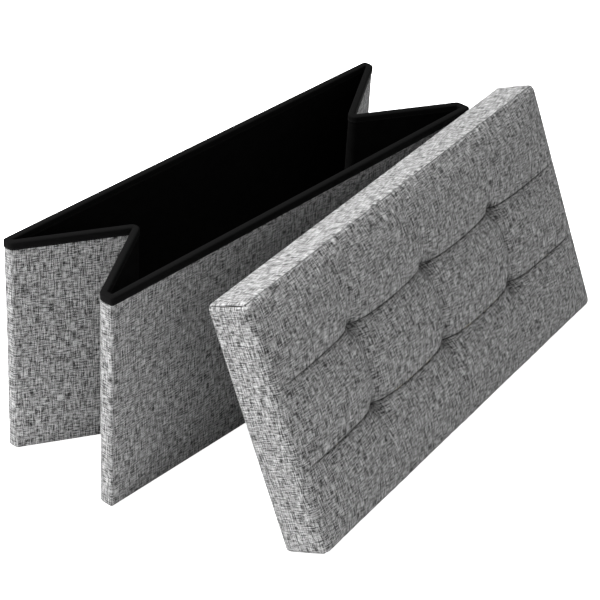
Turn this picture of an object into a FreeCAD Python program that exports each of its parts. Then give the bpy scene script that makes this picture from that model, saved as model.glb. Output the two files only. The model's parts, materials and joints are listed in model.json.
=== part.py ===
"""Folding storage ottoman: six hinged wall panels, a loose floor board and a padded cap lid.

Millimetres, +Z up. The origin lies on the floor under the middle of the front wall.
X runs along the front wall, and +Y points from the front wall to the back wall.
"""
import FreeCAD, Part
import os
import Sketcher

# ---------------------------------------------------------------- driving sizes
SIZES = {
    # the box of panels
    "box_length": 742.0,         # over the outer faces of the end panels, opened out
    "box_depth": 342.0,          # over the outer faces of the front and back walls, opened out
    "panel_height": 334.0,
    "board_thick": 6.5,
    "cover_thick": 1.2,          # woven outer fabric
    "lining_thick": 1.0,         # felted inner lining
    "binding_thick": 0.7,        # tape folded over the rim
    "binding_drop": 11.0,        # how far the tape reaches down each face
    "skin_foot": 0.8,            # fabric and lining end this far above the floor
    # how the panels fold
    "fold_angle": 60.0,          # 0 with the box opened out, 90 with it flat
    "front_gap": 8.5,            # slack fabric behind the front wall, room for the floor board
    "back_gap": 2.2,             # slack fabric in front of the back wall
    "crease_offset": 1.1,        # crease axis outside the end panels' outer faces
    "crease_gap": 0.6,           # between the two halves of an end panel
    "strip_gap": 0.6,            # from the front cover's end strip to the end panel
    "tape_gap": 0.3,             # from a hinge tape to the corner of the end panel it holds
    # the loose floor board, stored upright
    "floor_thick": 4.5,
    "floor_lining_thick": 0.8,
    "floor_play": 2.5,           # floor board to wall, all round, when it lies flat
    "floor_clearance": 0.25,     # from the front wall's tape when it is stored
    "ribbon_width": 28.0,
    "ribbon_length": 70.0,
    "ribbon_thick": 1.0,
    # the lid
    "lid_play": 1.2,             # lid's inside to the bound rim, each side
    "rail_thick": 6.0,
    "skirt_height": 18.0,
    "lid_board_thick": 6.0,
    "foam_thick": 35.8,
    "lid_lining_thick": 0.8,
    "tuft_rows_apart": 118.0,
    "tuft_spacing": 190.0,
    "tuft_hole_radius": 2.4,
    "tuft_tie_radius": 2.0,
    "tuft_tie_height": 16.0,
    # the lid leaning against the front wall
    "lid_lean": 67.2,            # from level, or less where the rim is too low for that
    "lid_edge_drop": 1.9,        # the lid's upper edge stays this far below the rim
    "lid_yaw": 7.84,
    "lid_shift": 99.4,           # middle of the lid's lower edge, along the front wall
    "lid_seat": 0.35,            # from the lid to the taped rim that it leans on
}

doc = FreeCAD.newDocument("folding_ottoman")
sheet = doc.addObject("Spreadsheet::Sheet", "sizes")
for row, (alias, value) in enumerate(SIZES.items(), start=1):
    sheet.set(f"A{row}", str(value))
    sheet.setAlias(f"A{row}", alias)
doc.recompute()

S = {alias: f"sizes.{alias}" for alias in SIZES}

# ---------------------------------------------------------------- sizes worked out from them
WALL = f"({S['board_thick']} + {S['cover_thick']} + {S['lining_thick']})"
SKIN_TOP = f"({S['panel_height']} - {S['binding_thick']})"
HALF = f"(({S['box_depth']} - 2 * {WALL} - {S['front_gap']} - {S['back_gap']}) / 2)"
AXIS_X = f"({S['box_length']} / 2 - {WALL})"
FRONT_AXIS_Y = f"({WALL} / 2 + {S['front_gap']})"
REACH_X = f"({HALF} * sin({S['fold_angle']}))"
REACH_Y = f"({HALF} * cos({S['fold_angle']}))"
CREASE_Y = (f"({FRONT_AXIS_Y} + {REACH_Y}"
            f" + ({WALL} + {S['crease_offset']}) * sin({S['fold_angle']}))")
BACK_AXIS_Y = f"(2 * {CREASE_Y} - {FRONT_AXIS_Y})"
BACK_WALL_Y = f"({BACK_AXIS_Y} + {S['back_gap']})"

FLOOR_LENGTH = f"({S['box_length']} - 2 * {WALL} - 2 * {S['floor_play']})"
FLOOR_DEPTH = f"({S['box_depth']} - 2 * {WALL} - 2 * {S['floor_play']})"
FLOOR_Y = f"({WALL} / 2 + {S['binding_thick']} + {S['floor_clearance']})"

LID_SIDE = f"({S['rail_thick']} + {S['cover_thick']})"
LID_MARGIN = f"({S['binding_thick']} + {S['lid_play']} + {LID_SIDE})"
LID_LENGTH = f"({S['box_length']} + 2 * {LID_MARGIN})"
LID_WIDTH = f"({S['box_depth']} + 2 * {LID_MARGIN})"
LID_BOARD_TOP = f"({S['skirt_height']} + {S['lid_board_thick']})"
FOAM_TOP = f"({LID_BOARD_TOP} + {S['foam_thick']})"
LID_HEIGHT = f"({FOAM_TOP} + {S['cover_thick']})"
LID_CORE_LENGTH = f"({LID_LENGTH} - 2 * {S['cover_thick']})"
LID_CORE_WIDTH = f"({LID_WIDTH} - 2 * {S['cover_thick']})"
LID_INSIDE_LENGTH = f"({LID_LENGTH} - 2 * {LID_SIDE})"
LID_INSIDE_WIDTH = f"({LID_WIDTH} - 2 * {LID_SIDE})"

# The lid leans with its upper edge against the rim's right end, which is LEAN_X from the
# middle, and its outer face LEAN_Y in front. The edge stays below the rim.
LID_LEAN = (f"min({S['lid_lean']};"
            f" asin(min(1; ({S['panel_height']} - {S['lid_edge_drop']}) / {LID_WIDTH})) / 1 deg)")
LEAN_X = f"({S['box_length']} / 2 - {S['cover_thick']})"
LEAN_Y = f"({WALL} / 2 + {S['binding_thick']})"
LID_FOOT = (f"(({LEAN_X} - {S['lid_shift']}) * tan({S['lid_yaw']})"
            f" + {LID_WIDTH} * cos({LID_LEAN}) / cos({S['lid_yaw']})"
            f" + {LEAN_Y} + {S['lid_seat']})")

PAST = 5.0          # how far a cutting box runs past what it cuts
SUBPARTS = []


# ---------------------------------------------------------------- helpers
def placement(x="0", y="0", z="0", yaw="0", roll="0"):
    """An expression for a place: a point, and a turn about X then about Z."""
    return (f"create(<<placement>>; create(<<vector>>; {x}; {y}; {z});"
            f" create(<<rotation>>; {yaw}; 0; {roll}))")


def subpart(obj, label, frame):
    """Name a piece, put it in its frame and keep it for the export."""
    obj.Label = label
    obj.setExpression("Placement", frame)
    SUBPARTS.append(obj)
    return obj


def solid_box(name, low, high):
    """A box between two corners given as expressions, in its panel's own frame."""
    box = doc.addObject("Part::Box", name)
    for size, start, end in zip(("Length", "Width", "Height"), low, high):
        box.setExpression(size, f"({end}) - ({start})")
    box.setExpression("Placement", placement(*low))
    return box


def box_part(label, low, high, frame):
    """A sub-part that is one box, turned and moved with its frame."""
    box = solid_box(f"{label}_box", low, high)
    return subpart(box, label, f"{frame} * {placement(*low)}")


def cut_part(label, outer, inner, frame):
    """A sub-part that is one box cut out of another, such as a channel."""
    cut = doc.addObject("Part::Cut", f"{label}_cut")
    cut.Base = solid_box(f"{label}_outer", *outer)
    cut.Tool = solid_box(f"{label}_inner", *inner)
    return subpart(cut, label, frame)


# ---------------------------------------------------------------- wall panels
def binding(label, start, end, frame):
    """Tape folded over the top edge of a panel: a channel open downwards."""
    tape, top = S["binding_thick"], S["panel_height"]
    bottom = f"{top} - {S['binding_drop']}"
    outer = ((start, f"-{tape}", bottom), (end, f"{WALL} + {tape}", top))
    inner = ((f"{start} - {PAST}", "0", f"{bottom} - {PAST}"),
             (f"{end} + {PAST}", WALL, f"{top} - {tape}"))
    cut_part(label, outer, inner, frame)


def half_panel(label, start, end, frame):
    """Half of an end panel. X runs along it, and Y from its inner to its outer face."""
    foot, lining = S["skin_foot"], S["lining_thick"]
    outside = f"{lining} + {S['board_thick']}"
    box_part(f"{label}_board", (start, lining, "0"), (end, outside, SKIN_TOP), frame)
    box_part(f"{label}_cover", (start, outside, foot), (end, WALL, SKIN_TOP), frame)
    box_part(f"{label}_lining", (start, "0", foot), (end, lining, SKIN_TOP), frame)
    binding(f"{label}_binding", start, end, frame)


def hinge_tapes(label, reach, frame):
    """Two upright tapes on a long wall, each reaching in to an end panel's hinge corner."""
    inner, length = f"({WALL} - {S['lining_thick']})", S["box_length"]
    top = f"{S['panel_height']} - {S['binding_drop']}"
    tapes = doc.addObject("Part::Compound", f"{label}_pair")
    tapes.Links = [
        solid_box(f"{label}_{number}", (start, f"-({reach})", S["skin_foot"]), (end, "0", top))
        for number, (start, end) in enumerate(
            ((inner, WALL), (f"{length} - {WALL}", f"{length} - {inner}")))]
    subpart(tapes, label, frame)


def long_wall(label, gap, strip, frame):
    """The front or back wall, with gap between it and the end panels' hinge corners.

    Its cover turns round both ends and reaches in by strip.
    """
    cover, foot, lining = S["cover_thick"], S["skin_foot"], S["lining_thick"]
    length = S["box_length"]
    start, end = cover, f"{length} - {cover}"
    outside = f"{lining} + {S['board_thick']}"
    box_part(f"{label}_board", (start, lining, "0"), (end, outside, SKIN_TOP), frame)
    cut_part(f"{label}_cover",
             (("0", f"-({strip})", foot), (length, WALL, SKIN_TOP)),
             ((start, f"-({strip}) - {PAST}", f"{foot} - {PAST}"),
              (end, outside, f"{SKIN_TOP} + {PAST}")),
             frame)
    box_part(f"{label}_lining", (start, "0", foot), (end, lining, SKIN_TOP), frame)
    binding(f"{label}_binding", start, end, frame)
    hinge_tapes(f"{label}_hinge_tapes", f"{gap} - {S['tape_gap']}", frame)


def box_of_panels():
    """Two long walls and four half panels, partly folded."""
    fold = S["fold_angle"]
    long_wall("front_wall", S["front_gap"], f"{S['front_gap']} - {S['strip_gap']}",
              placement(f"{S['box_length']} / 2", f"{WALL} / 2", yaw="180"))
    long_wall("back_wall", S["back_gap"], f"{S['back_gap']} / 2",
              placement(f"-{S['box_length']} / 2", BACK_WALL_Y))

    crease_x = f"({AXIS_X} - {REACH_X})"
    front_end_y = f"({FRONT_AXIS_Y} + {REACH_Y})"
    back_end_y = f"({BACK_AXIS_Y} - {REACH_Y})"
    near_crease = f"{S['crease_gap']} / 2"
    short_of_crease = f"{HALF} - {near_crease}"
    half_panel("left_front", "0", short_of_crease,
               placement(f"-{AXIS_X}", FRONT_AXIS_Y, yaw=f"90 - {fold}"))
    half_panel("left_back", near_crease, HALF,
               placement(f"-{crease_x}", back_end_y, yaw=f"90 + {fold}"))
    half_panel("right_front", near_crease, HALF,
               placement(crease_x, front_end_y, yaw=f"{fold} - 90"))
    half_panel("right_back", "0", short_of_crease,
               placement(AXIS_X, BACK_AXIS_Y, yaw=f"270 - {fold}"))


# ---------------------------------------------------------------- floor board
def floor_board():
    """The loose floor board, stored upright behind the front wall, with its pull ribbon."""
    frame = placement(f"-{FLOOR_LENGTH} / 2", FLOOR_Y)
    board, face = S["floor_thick"], f"{S['floor_thick']} + {S['floor_lining_thick']}"
    box_part("floor_board", ("0", "0", "0"), (FLOOR_LENGTH, board, FLOOR_DEPTH), frame)
    box_part("floor_lining", ("0", board, S["skin_foot"]),
             (FLOOR_LENGTH, face, FLOOR_DEPTH), frame)
    middle, half_ribbon = f"{FLOOR_LENGTH} / 2", f"{S['ribbon_width']} / 2"
    box_part("floor_pull_ribbon",
             (f"{middle} - {half_ribbon}", face, f"{FLOOR_DEPTH} - {S['ribbon_length']}"),
             (f"{middle} + {half_ribbon}", f"{face} + {S['ribbon_thick']}", FLOOR_DEPTH),
             frame)


# ---------------------------------------------------------------- lid
def tuft_circles(sketch, radius):
    """Six circles, three in each of two rows, about the middle of the lid."""
    for row in (-1, 1):
        for column in (-1, 0, 1):
            centre = FreeCAD.Vector(column, row, 0)
            index = sketch.addGeometry(Part.Circle(centre, FreeCAD.Vector(0, 0, 1), 1.0))
            across = sketch.addConstraint(
                Sketcher.Constraint("DistanceX", -1, 1, index, 3, float(column)))
            along = sketch.addConstraint(
                Sketcher.Constraint("DistanceY", -1, 1, index, 3, float(row)))
            size = sketch.addConstraint(Sketcher.Constraint("Radius", index, 1.0))
            sketch.setExpression(
                f"Constraints[{across}]",
                f"{LID_LENGTH} / 2 + ({column}) * {S['tuft_spacing']}")
            sketch.setExpression(
                f"Constraints[{along}]",
                f"{LID_WIDTH} / 2 + ({row}) * {S['tuft_rows_apart']} / 2")
            sketch.setExpression(f"Constraints[{size}]", radius)


def sketch_at(body, name, height):
    """A sketch on a body's XY plane, raised to a height."""
    plane = [p for p in body.Origin.OriginFeatures if p.Role == "XY_Plane"][0]
    sketch = body.newObject("Sketcher::SketchObject", name)
    sketch.AttachmentSupport = [(plane, "")]
    sketch.MapMode = "FlatFace"
    sketch.setExpression("AttachmentOffset.Base.z", height)
    return sketch


def rectangle(sketch, low, high):
    """A closed rectangle between two corners given as expressions."""
    corners = [(1, 1), (2, 1), (2, 2), (1, 2)]
    for here, there in zip(corners, corners[1:] + corners[:1]):
        sketch.addGeometry(Part.LineSegment(FreeCAD.Vector(*here, 0), FreeCAD.Vector(*there, 0)))
    for line in range(4):
        sketch.addConstraint(Sketcher.Constraint("Coincident", line, 2, (line + 1) % 4, 1))
        level = "Horizontal" if line % 2 == 0 else "Vertical"
        sketch.addConstraint(Sketcher.Constraint(level, line))
    for line, point, corner in ((0, 1, low), (2, 1, high)):
        for kind, value in zip(("DistanceX", "DistanceY"), corner):
            index = sketch.addConstraint(Sketcher.Constraint(kind, -1, 1, line, point, 1.0))
            sketch.setExpression(f"Constraints[{index}]", value)


def foam_pad(frame):
    """The foam block, with six holes that the tuft ties pass through."""
    cover = S["cover_thick"]
    body = doc.addObject("PartDesign::Body", "foam_body")
    outline = sketch_at(body, "foam_outline", LID_BOARD_TOP)
    rectangle(outline, (cover, cover),
              (f"{LID_LENGTH} - {cover}", f"{LID_WIDTH} - {cover}"))
    pad = body.newObject("PartDesign::Pad", "foam_block")
    pad.Profile = outline
    pad.setExpression("Length", S["foam_thick"])
    holes = sketch_at(body, "tuft_hole_circles", FOAM_TOP)
    tuft_circles(holes, S["tuft_hole_radius"])
    doc.recompute()
    solid_volume = pad.Shape.Volume
    pocket = body.newObject("PartDesign::Pocket", "tuft_holes")
    pocket.Profile = holes
    pocket.setExpression("Length", S["foam_thick"])
    body.Tip = pocket
    doc.recompute()
    if pocket.Shape.Volume >= solid_volume:
        raise SystemExit("the tuft holes cut nothing")
    subpart(body, "lid_foam", frame)


def tuft_ties(frame):
    """Six cords that hold the cover down, knotted on the lid board."""
    ties = doc.addObject("Part::Extrusion", "tuft_tie_cords")
    circles = doc.addObject("Sketcher::SketchObject", "tuft_tie_circles")
    circles.setExpression("Placement", placement(z=LID_BOARD_TOP))
    tuft_circles(circles, S["tuft_tie_radius"])
    ties.Base = circles
    ties.DirMode = "Normal"
    ties.Solid = True
    ties.setExpression("LengthFwd", S["tuft_tie_height"])
    subpart(ties, "lid_tuft_ties", frame)


def lid():
    """The padded cap lid, leaning on the front wall with its lower long edge on the floor."""
    cover, skirt, side = S["cover_thick"], S["skirt_height"], LID_SIDE
    lean = placement(S["lid_shift"], f"-{LID_FOOT}", yaw=S["lid_yaw"], roll=LID_LEAN)
    frame = f"{lean} * {placement(f'-{LID_LENGTH} / 2')}"
    core_x, core_y = f"{LID_LENGTH} - {cover}", f"{LID_WIDTH} - {cover}"
    inside_x, inside_y = f"{LID_LENGTH} - {side}", f"{LID_WIDTH} - {side}"

    box_part("lid_board", (cover, cover, skirt), (core_x, core_y, LID_BOARD_TOP), frame)
    box_part("lid_rail_lower", (cover, cover, "0"), (core_x, side, skirt), frame)
    box_part("lid_rail_upper", (cover, inside_y, "0"), (core_x, core_y, skirt), frame)
    box_part("lid_rail_left", (cover, side, "0"), (side, inside_y, skirt), frame)
    box_part("lid_rail_right", (inside_x, side, "0"), (core_x, inside_y, skirt), frame)
    box_part("lid_lining", (side, side, f"{skirt} - {S['lid_lining_thick']}"),
             (inside_x, inside_y, skirt), frame)
    foam_pad(frame)
    tuft_ties(frame)
    cut_part("lid_top_cover",
             (("0", cover, "0"), (LID_LENGTH, core_y, LID_HEIGHT)),
             ((cover, f"{cover} - {PAST}", f"-{PAST}"),
              (core_x, f"{core_y} + {PAST}", FOAM_TOP)),
             frame)
    box_part("lid_band_lower", ("0", "0", "0"), (LID_LENGTH, cover, LID_HEIGHT), frame)
    box_part("lid_band_upper", ("0", core_y, "0"), (LID_LENGTH, LID_WIDTH, LID_HEIGHT), frame)


# ---------------------------------------------------------------- checks and export
def check_document():
    """Stop if any object failed, or a sub-part is empty or not valid."""
    for obj in doc.Objects:
        if "Invalid" in obj.State or "Error" in obj.State:
            raise SystemExit(f"{obj.Name} failed: {obj.State}")
    for obj in SUBPARTS:
        if obj.Shape.isNull() or not obj.Shape.isValid() or not obj.Shape.Solids:
            raise SystemExit(f"{obj.Label} has no valid solid")


def export():
    """Write each sub-part to a file with its own name."""
    os.makedirs("parts", exist_ok=True)
    for obj in SUBPARTS:
        obj.Shape.exportStep(f"parts/{obj.Label}.step")
        print(f"{obj.Label}: {len(obj.Shape.Solids)} solid(s), {obj.Shape.Volume:.0f} mm3")


box_of_panels()
floor_board()
lid()
doc.recompute()
check_document()
export()
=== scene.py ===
# %% [markdown]
# # A folding storage ottoman
#
# Six fabric-covered panels fold like an accordion bag, and a padded, tufted lid leans on them.
# The measured frame is loaded first. Every board in it stays where it is, and this lesson
# dresses the boards: woven fabric outside, black felt inside, tape over the rim, and a pad.

# %% Load the frame
import json
import math

import bpy
import numpy as np
from mathutils import Matrix, Vector


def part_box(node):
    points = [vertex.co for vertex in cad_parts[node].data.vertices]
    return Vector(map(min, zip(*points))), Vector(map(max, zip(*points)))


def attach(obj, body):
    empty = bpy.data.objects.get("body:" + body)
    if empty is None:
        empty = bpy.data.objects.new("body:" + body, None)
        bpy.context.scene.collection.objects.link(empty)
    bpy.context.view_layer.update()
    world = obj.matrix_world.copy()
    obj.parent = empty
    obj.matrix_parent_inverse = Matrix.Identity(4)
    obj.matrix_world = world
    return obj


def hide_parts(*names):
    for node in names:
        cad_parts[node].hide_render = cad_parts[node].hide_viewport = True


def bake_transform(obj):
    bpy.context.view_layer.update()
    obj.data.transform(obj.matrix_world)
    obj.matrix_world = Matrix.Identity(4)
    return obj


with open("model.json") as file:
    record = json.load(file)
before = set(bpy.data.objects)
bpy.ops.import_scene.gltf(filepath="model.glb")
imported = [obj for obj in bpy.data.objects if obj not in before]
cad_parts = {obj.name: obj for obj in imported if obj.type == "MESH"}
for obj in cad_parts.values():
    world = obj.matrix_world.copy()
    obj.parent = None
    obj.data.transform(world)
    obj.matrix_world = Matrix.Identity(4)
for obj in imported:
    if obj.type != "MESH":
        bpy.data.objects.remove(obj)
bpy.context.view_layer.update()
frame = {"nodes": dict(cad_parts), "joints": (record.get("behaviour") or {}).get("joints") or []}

MM = 0.001
JOINTS = {joint["name"]: joint for joint in frame["joints"]}

# %% [markdown]
# ## The camera
#
# The camera comes first, so that every later render can be compared. It is placed by angles
# round the object: a direction to look back along, a roll, and a distance. A long lens
# keeps upright edges nearly parallel.

# %% Place the camera
VIEW_AZIMUTH = math.radians(-50.85)
VIEW_ELEVATION = math.radians(32.99)
VIEW_ROLL = math.radians(3.46)
VIEW_DISTANCE = 3.1234
VIEW_CENTRE = (0.0124, 0.1342)      # the picture's centre, right of and above the origin
LENS = 129.1

back = Vector((math.sin(VIEW_AZIMUTH) * math.cos(VIEW_ELEVATION),
               -math.cos(VIEW_AZIMUTH) * math.cos(VIEW_ELEVATION),
               math.sin(VIEW_ELEVATION)))
level_right = Vector((0, 0, 1)).cross(back).normalized()
level_up = back.cross(level_right)
right = level_right * math.cos(VIEW_ROLL) + level_up * math.sin(VIEW_ROLL)
up = level_up * math.cos(VIEW_ROLL) - level_right * math.sin(VIEW_ROLL)
bpy.ops.object.camera_add()
camera = bpy.context.object
camera.name = "camera"
camera.data.lens = LENS
camera.matrix_world = Matrix((right, up, back)).transposed().to_4x4()
camera.location = right * VIEW_CENTRE[0] + up * VIEW_CENTRE[1] + back * VIEW_DISTANCE
bpy.context.scene.camera = camera
print("camera at", [round(c, 3) for c in camera.location])

# %% [markdown]
# ## Tools for adding nodes
#
# A material is a tree of nodes. Adding each by hand takes five lines, so this small class
# adds a node, fills its sockets and links it in one line.


# %% A helper that adds nodes
class Nodes:
    """Adds nodes to one tree. A value may be a number, a colour or another node's output."""

    def __init__(self, tree):
        self.tree = tree
        self.column = 0

    def add(self, kind, inputs=None, **settings):
        node = self.tree.nodes.new("ShaderNode" + kind)
        node.location = (self.column * 180, 0)
        self.column += 1
        for name, value in settings.items():
            setattr(node, name, value)
        for socket, value in (inputs or {}).items():
            self.feed(node.inputs[socket], value)
        return node

    def feed(self, socket, value):
        """Link another node's output to a socket, or give the socket a plain value."""
        if isinstance(value, bpy.types.NodeSocket):
            self.tree.links.new(value, socket)
        else:
            socket.default_value = value

    def math(self, operation, first, second=0.0):
        return self.add("Math", {0: first, 1: second}, operation=operation).outputs[0]

    def join(self, x=0.0, y=0.0, z=0.0):
        return self.add("CombineXYZ", {0: x, 1: y, 2: z}).outputs[0]

    def noise(self, vector, scale=1.0, detail=2.0, roughness=0.5):
        return self.add("TexNoise", {"Vector": vector, "Scale": scale, "Detail": detail,
                                     "Roughness": roughness}).outputs[0]

    def remap(self, value, low, high, new_low=0.0, new_high=1.0):
        return self.add("MapRange", {0: value, 1: low, 2: high, 3: new_low,
                                     4: new_high}).outputs[0]

    def mix(self, factor, first, second):
        return self.add("Mix", {0: factor, 6: first, 7: second}, data_type="RGBA").outputs[2]


def grey(level):
    """A neutral colour."""
    return (level, level, level, 1.0)


def node_group(name, inputs, outputs):
    """An empty shader group with named sockets, and its nodes' helper, input and output."""
    group = bpy.data.node_groups.new(name, "ShaderNodeTree")
    for label, kind, value in inputs:
        socket = group.interface.new_socket(label, in_out="INPUT", socket_type=kind)
        if value is not None:
            socket.default_value = value
    for label, kind in outputs:
        group.interface.new_socket(label, in_out="OUTPUT", socket_type=kind)
    nodes = Nodes(group)
    start = group.nodes.new("NodeGroupInput")
    end = group.nodes.new("NodeGroupOutput")
    return nodes, start.outputs, end.inputs


# %% [markdown]
# ## Slubbed linen
#
# The cover is a coarse plain weave of mottled yarn. Each thread is numbered by rounding the
# cloth's own coordinates down, a stretched noise gives it a shade that changes along its
# length, and a checker says whether the warp or the weft thread is on top. Streaks a few
# threads wide, the slubs, lie over both. The pattern follows a UV map in metres.

# %% Build the weave group
THREAD_STEP = 3.71          # keeps neighbouring threads' noise apart
WEFT_PLANE = 7.3            # keeps the weft's noise apart from the warp's
SLUB_SHARE = 0.68           # the slubs' weight against the threads' own shades
SHADE_GAIN = 2.6            # widens the narrow range of the noise
MIDDLE_SHADE = 0.36         # where the average thread lies between dark and light
SLUB_RELIEF = 2.0           # how far slubs stand out, against a thread's own roundness

FLOAT, VECTOR, COLOR = "NodeSocketFloat", "NodeSocketVector", "NodeSocketColor"
nodes, given, result = node_group(
    "slub_weave",
    [("UV", VECTOR, None), ("Pitch", FLOAT, 1.25 * MM), ("Slub length", FLOAT, 5.5),
     ("Contrast", FLOAT, 1.0), ("Dark", COLOR, grey(0.02)), ("Light", COLOR, grey(0.5))],
    [("Color", COLOR), ("Height", FLOAT)])
pitches = nodes.join(given["Pitch"], given["Pitch"], 1.0)
threads = nodes.add("VectorMath", {0: given["UV"], 1: pitches}, operation="DIVIDE").outputs[0]
along = nodes.add("SeparateXYZ", {0: threads}).outputs
warp_number = nodes.math("FLOOR", along[0])
weft_number = nodes.math("FLOOR", along[1])
warp_shade = nodes.noise(nodes.join(nodes.math("MULTIPLY", warp_number, THREAD_STEP),
                                    nodes.math("DIVIDE", along[1], given["Slub length"])))
weft_shade = nodes.noise(nodes.join(nodes.math("DIVIDE", along[0], given["Slub length"]),
                                    nodes.math("MULTIPLY", weft_number, THREAD_STEP), WEFT_PLANE))
checker = nodes.math("FLOORED_MODULO", nodes.math("ADD", warp_number, weft_number), 2.0)


def top_thread(nodes, warp_value, weft_value):
    warp_part = nodes.math("MULTIPLY", warp_value, nodes.math("SUBTRACT", 1.0, checker))
    return nodes.math("ADD", warp_part, nodes.math("MULTIPLY", weft_value, checker))


shade = top_thread(nodes, warp_shade, weft_shade)
slub_wide = nodes.noise(nodes.add("VectorMath", {0: threads, 1: (0.8, 0.075, 1.0)},
                                  operation="MULTIPLY").outputs[0], detail=0.0)
slub_high = nodes.noise(nodes.add("VectorMath", {0: threads, 1: (0.12, 0.8, 1.0)},
                                  operation="MULTIPLY").outputs[0], detail=0.0)
slubs = nodes.math("SUBTRACT", nodes.math("ADD", slub_wide, slub_high), 1.0)
shade = nodes.math("ADD", nodes.math("SUBTRACT", shade, 0.5),
                   nodes.math("MULTIPLY", slubs, SLUB_SHARE))
gain = nodes.math("MULTIPLY", given["Contrast"], SHADE_GAIN)
shade = nodes.math("ADD", nodes.math("MULTIPLY", shade, gain), MIDDLE_SHADE)
shade = nodes.add("Clamp", {0: shade}).outputs[0]
nodes.feed(result["Color"], nodes.mix(shade, given["Dark"], given["Light"]))
warp_round = nodes.math("SINE", nodes.math("MULTIPLY", nodes.math("FRACT", along[0]), math.pi))
weft_round = nodes.math("SINE", nodes.math("MULTIPLY", nodes.math("FRACT", along[1]), math.pi))
relief = nodes.math("ADD", top_thread(nodes, warp_round, weft_round),
                    nodes.math("MULTIPLY", slubs, SLUB_RELIEF))
nodes.feed(result["Height"], relief)
WEAVE = nodes.tree
print("weave group", len(WEAVE.nodes), "nodes")


# %% A helper that starts a material
def material(name, roughness, color=grey(0.5), sheen=0.0, gloss=0.3):
    """A material with one Principled shader, and the helper that adds nodes to it."""
    made = bpy.data.materials.new(name)
    made.use_nodes = True
    made.node_tree.nodes.clear()
    nodes = Nodes(made.node_tree)
    shader = nodes.add("BsdfPrincipled", {"Roughness": roughness, "Base Color": color,
                                          "Sheen Weight": sheen, "Specular IOR Level": gloss})
    nodes.add("OutputMaterial", {"Surface": shader.outputs[0]})
    return made, nodes, shader


def paint(nodes, shader, color):
    """Feed a colour to the shader."""
    nodes.feed(shader.inputs["Base Color"], color)


def bump(nodes, shader, height, distance):
    """Feed a height to the shader's normal. The distance is the relief in metres."""
    node = nodes.add("Bump", {"Height": height, "Distance": distance, "Strength": 1.0})
    nodes.feed(shader.inputs["Normal"], node.outputs[0])


# %% The linen material
PAINTED_SHADE_STRENGTH = 0.85        # how far a full mark of painted shade darkens the cloth towards near black


def linen_material(name, dark, light, contrast):
    """The woven cover, from the levels of its darkest and lightest threads."""
    made, nodes, shader = material(name, roughness=0.92, sheen=0.12)
    uv = nodes.add("UVMap", uv_map="UVMap").outputs[0]
    weave = nodes.add("Group", {"UV": uv, "Dark": grey(dark), "Light": grey(light),
                                "Contrast": contrast}, node_tree=WEAVE)
    # The attribute read here is painted shade: in the seams' grooves, in the pockets at the ties,
    # along the folds between them and at the seamed edges.
    painted_shade = nodes.add("Attribute", attribute_name="painted_shade").outputs["Fac"]
    marked = nodes.math("MULTIPLY", painted_shade, PAINTED_SHADE_STRENGTH)
    paint(nodes, shader, nodes.mix(marked, weave.outputs["Color"], grey(0.006)))
    bump(nodes, shader, weave.outputs["Height"], 0.45 * MM)
    return made


LINEN = linen_material("grey_linen", dark=0.006, light=0.60, contrast=0.64)
print("made", LINEN.name)

# %% [markdown]
# ## Felt, tape, board and foam
#
# The lining is a pressed black felt: nearly no colour, a soft cloudy shade and fine fibres.
# The tape over the rim is ribbed and has a row of stitches near each edge, drawn from the
# UV map. The lid's boards are pressed fibre. The walls' boards are given a black face as painted
# shade, so that the narrow slits at the panels' corners look dark. The foam has pores, and the
# cord of the ties is twisted.

# %% The other materials
felt, nodes, shader = material("black_felt", roughness=0.95, gloss=0.03)
place = nodes.add("UVMap", uv_map="UVMap").outputs[0]
cloud = nodes.noise(place, scale=60.0, detail=4.0)
fibres = nodes.noise(place, scale=1400.0, detail=3.0, roughness=0.7)
paint(nodes, shader, nodes.mix(nodes.math("MULTIPLY", cloud, fibres), grey(0.0006), grey(0.006)))
bump(nodes, shader, fibres, 0.25 * MM)

RIB_PITCH = 1.1 * MM
STITCH_PITCH = 3.4 * MM
STITCH_SHARE = 0.72         # how much of the pitch is thread, the rest being the gap
STITCH_INSET = 2.6 * MM
STITCH_CORE = 0.2 * MM      # half the thread's width where it is full height,
STITCH_EDGE = 0.45 * MM     # and where it ends
tape, nodes, shader = material("black_tape", roughness=0.85, gloss=0.06)
run = nodes.add("SeparateXYZ", {0: nodes.add("UVMap", uv_map="UVMap").outputs[0]}).outputs
edge = nodes.add("Attribute", attribute_name="edge_distance").outputs["Fac"]
ribs = nodes.math("SINE", nodes.math("MULTIPLY", run[0], 2 * math.pi / RIB_PITCH))
in_pitch = nodes.math("FRACT", nodes.math("DIVIDE", run[0], STITCH_PITCH))
in_dash = nodes.math("LESS_THAN", in_pitch, STITCH_SHARE)
from_row = nodes.math("ABSOLUTE", nodes.math("SUBTRACT", edge, STITCH_INSET))
stitch = nodes.math("MULTIPLY", in_dash, nodes.remap(from_row, STITCH_EDGE, STITCH_CORE))
paint(nodes, shader, nodes.mix(stitch, grey(0.0015), grey(0.012)))
bump(nodes, shader, nodes.math("ADD", nodes.math("MULTIPLY", ribs, 0.25),
                               nodes.math("MULTIPLY", stitch, 1.6)), 0.3 * MM)

black_card, nodes, shader = material("black_card", roughness=0.9, gloss=0.1)
place = nodes.add("TexCoord").outputs["Object"]
pressed = nodes.noise(place, scale=600.0, detail=4.0, roughness=0.6)
paint(nodes, shader, nodes.mix(pressed, grey(0.002), grey(0.012)))
bump(nodes, shader, pressed, 0.15 * MM)

fibreboard, nodes, shader = material("fibreboard", roughness=0.85)
place = nodes.add("TexCoord").outputs["Object"]
flecks = nodes.noise(place, scale=420.0, detail=5.0, roughness=0.65)
patches = nodes.noise(place, scale=25.0, detail=3.0)
tone = nodes.remap(nodes.math("ADD", nodes.math("MULTIPLY", flecks, 0.7),
                              nodes.math("MULTIPLY", patches, 0.3)), 0.35, 0.65)
paint(nodes, shader, nodes.mix(tone, (0.20, 0.13, 0.07, 1), (0.42, 0.30, 0.18, 1)))
bump(nodes, shader, flecks, 0.2 * MM)

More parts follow.
